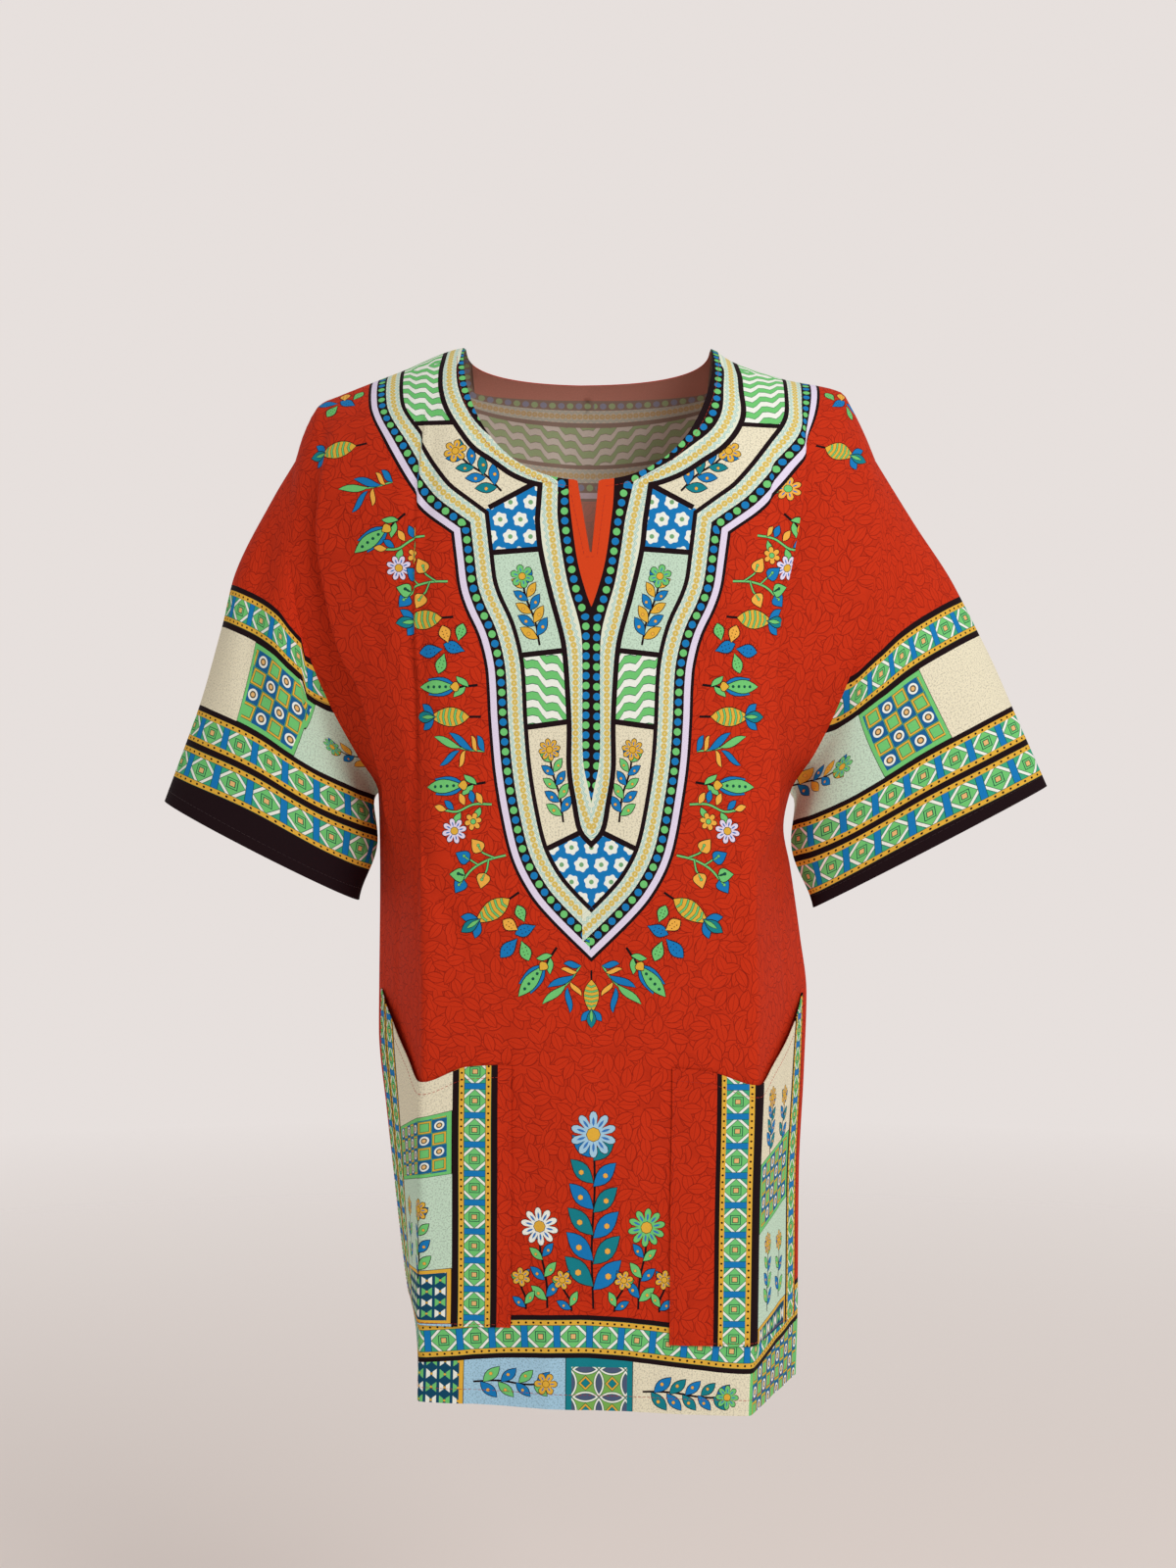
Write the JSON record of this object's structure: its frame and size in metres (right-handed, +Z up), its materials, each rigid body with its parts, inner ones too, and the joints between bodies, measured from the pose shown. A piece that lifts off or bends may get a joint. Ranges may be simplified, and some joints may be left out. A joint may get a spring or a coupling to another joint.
{
  "type": "dashiki tunic dress",
  "caption": "Short-sleeved hip-length dashiki tunic dress in printed cotton, with a round slit neck, wide sleeves and patch pockets, filled out as when worn.",
  "frame": {"origin": "halfway between the two points where the neckline meets the shoulder seams, where the garment hangs on its wearer", "axes": "+Z up, -Y towards the front of the garment, +X towards the wearer's left"},
  "size_m": [0.6884, 0.2449, 0.797],
  "materials": {
    "print_body": "matt printed cotton, orange red with a patterned yoke and border",
    "print_sleeve": "matt printed cotton, cream panels between black, green and yellow bands",
    "print_pocket": "matt printed cotton, patterned panels and bands"
  },
  "bodies": {
    "root": {"front": "print_body", "back": "print_body", "sleeve_left": "print_sleeve", "sleeve_right": "print_sleeve", "pocket_left": "print_pocket", "pocket_right": "print_pocket"}
  },
  "joints": []
}
